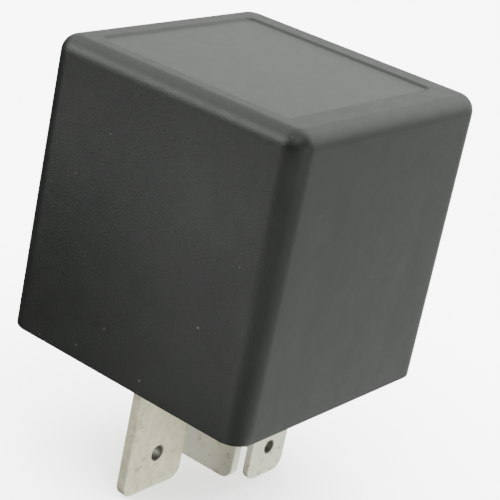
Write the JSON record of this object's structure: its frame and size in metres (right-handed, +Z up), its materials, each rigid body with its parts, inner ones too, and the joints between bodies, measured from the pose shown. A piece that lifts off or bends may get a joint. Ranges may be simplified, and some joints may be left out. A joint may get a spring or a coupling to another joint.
{
  "type": "plug-in relay",
  "caption": "Cube-shaped plug-in changeover relay: a black cap over a base with flat blades, an upright coil, a hinged armature and switching contacts.",
  "frame": {"origin": "middle of the underside of the base, on the seating plane where the cap and the base meet the socket", "axes": "+Z up, away from the blades; -X is the hinge side with the common blade 30; +X is the side of the fixed contacts; 85 is at -Y and 86 at +Y"},
  "size_m": [0.033, 0.033, 0.0488],
  "materials": {
    "cap_plastic": "fine matte grain",
    "base_plastic": "matte",
    "bobbin_plastic": "natural moulded",
    "plated_iron": "zinc plated",
    "bare_iron": "turned",
    "copper_wire": "enamelled copper",
    "spring_bronze": "rolled",
    "rivet_brass": "satin",
    "contact_silver": "satin silver alloy",
    "tinned_brass": "matte tin plate",
    "resistor_lacquer": "lacquered",
    "tinned_wire": "tinned copper",
    "solder": "bright solder"
  },
  "bodies": {
    "carrier": {"base": "base_plastic", "bobbin": "bobbin_plastic", "yoke": "plated_iron", "core": "bare_iron", "coil_winding": "copper_wire", "coil_lead_start": "copper_wire", "coil_lead_end": "copper_wire", "yoke_rivets": "rivet_brass", "fixed_contact_no": "contact_silver", "fixed_contact_nc": "contact_silver", "terminal_30": "tinned_brass", "terminal_87": "tinned_brass", "terminal_87a": "tinned_brass", "terminal_85": "tinned_brass", "terminal_86": "tinned_brass", "suppression_resistor": "resistor_lacquer", "resistor_leads": "tinned_wire", "solder_joints": "solder"},
    "moving_armature": {"armature": "plated_iron", "armature_rivets": "rivet_brass", "contact_spring": "spring_bronze", "moving_contact": "contact_silver"},
    "cap": {"cover": "cap_plastic"}
  },
  "joints": [
    {"name": "armature_hinge", "type": "hinge", "parent": "carrier", "child": "moving_armature", "pos_m": [-0.013, 0, 0.0236], "axis": [0, 1, 0], "range_deg": [0, 2.4], "stiffness_Nm_per_rad": 0.05, "springref_deg": -5.73, "deforming": ["contact_spring"]},
    {"name": "cover_lift", "type": "slide", "parent": "carrier", "child": "cap", "axis": [0, 0, 1], "range_m": [0, 0.036]}
  ]
}
